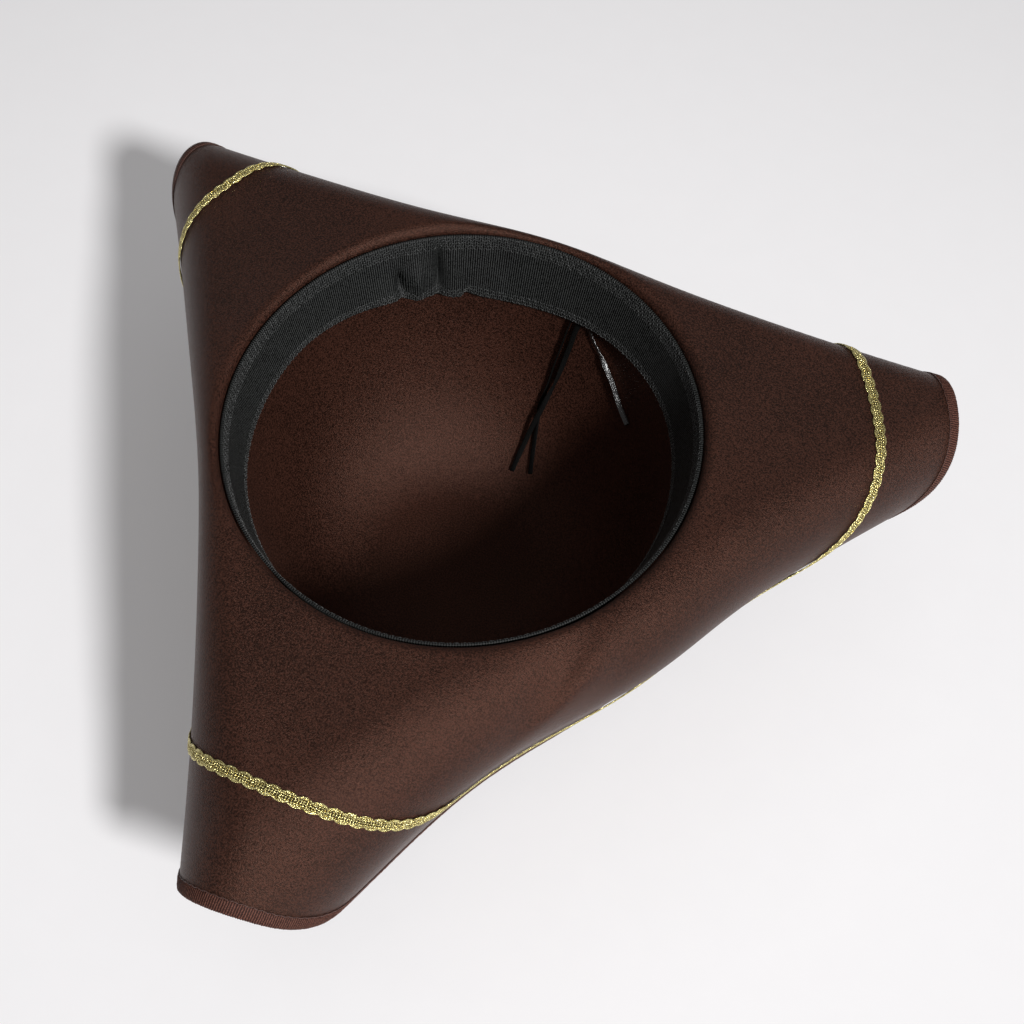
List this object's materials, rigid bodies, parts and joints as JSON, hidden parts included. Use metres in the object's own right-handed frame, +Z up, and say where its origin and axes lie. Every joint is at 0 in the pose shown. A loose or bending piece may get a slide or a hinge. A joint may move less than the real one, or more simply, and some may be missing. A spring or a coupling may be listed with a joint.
{
  "type": "felt tricorn hat",
  "caption": "Felt tricorn hat lying crown down, with a rounded crown, a brim turned up on three sides, gold braid, a black sweatband and narrow black ties inside.",
  "frame": {"origin": "middle of the flat on top of the crown, on which the hat lies upside down", "axes": "+Z up, out of the head opening; the hat's front corner points to -Y"},
  "size_m": [0.341, 0.3208, 0.1069],
  "materials": {
    "felt": "short brown felt nap",
    "gold_braid": "bright metallic gold thread",
    "black_ribbon": "ribbed black ribbon",
    "black_tie": "black satin ribbon"
  },
  "bodies": {
    "root": {"felt_body": "felt", "gold_braid": "gold_braid", "sweatband": "black_ribbon", "tie_left_front": "black_tie", "tie_left_back": "black_tie", "tie_right": "black_tie"}
  },
  "joints": []
}
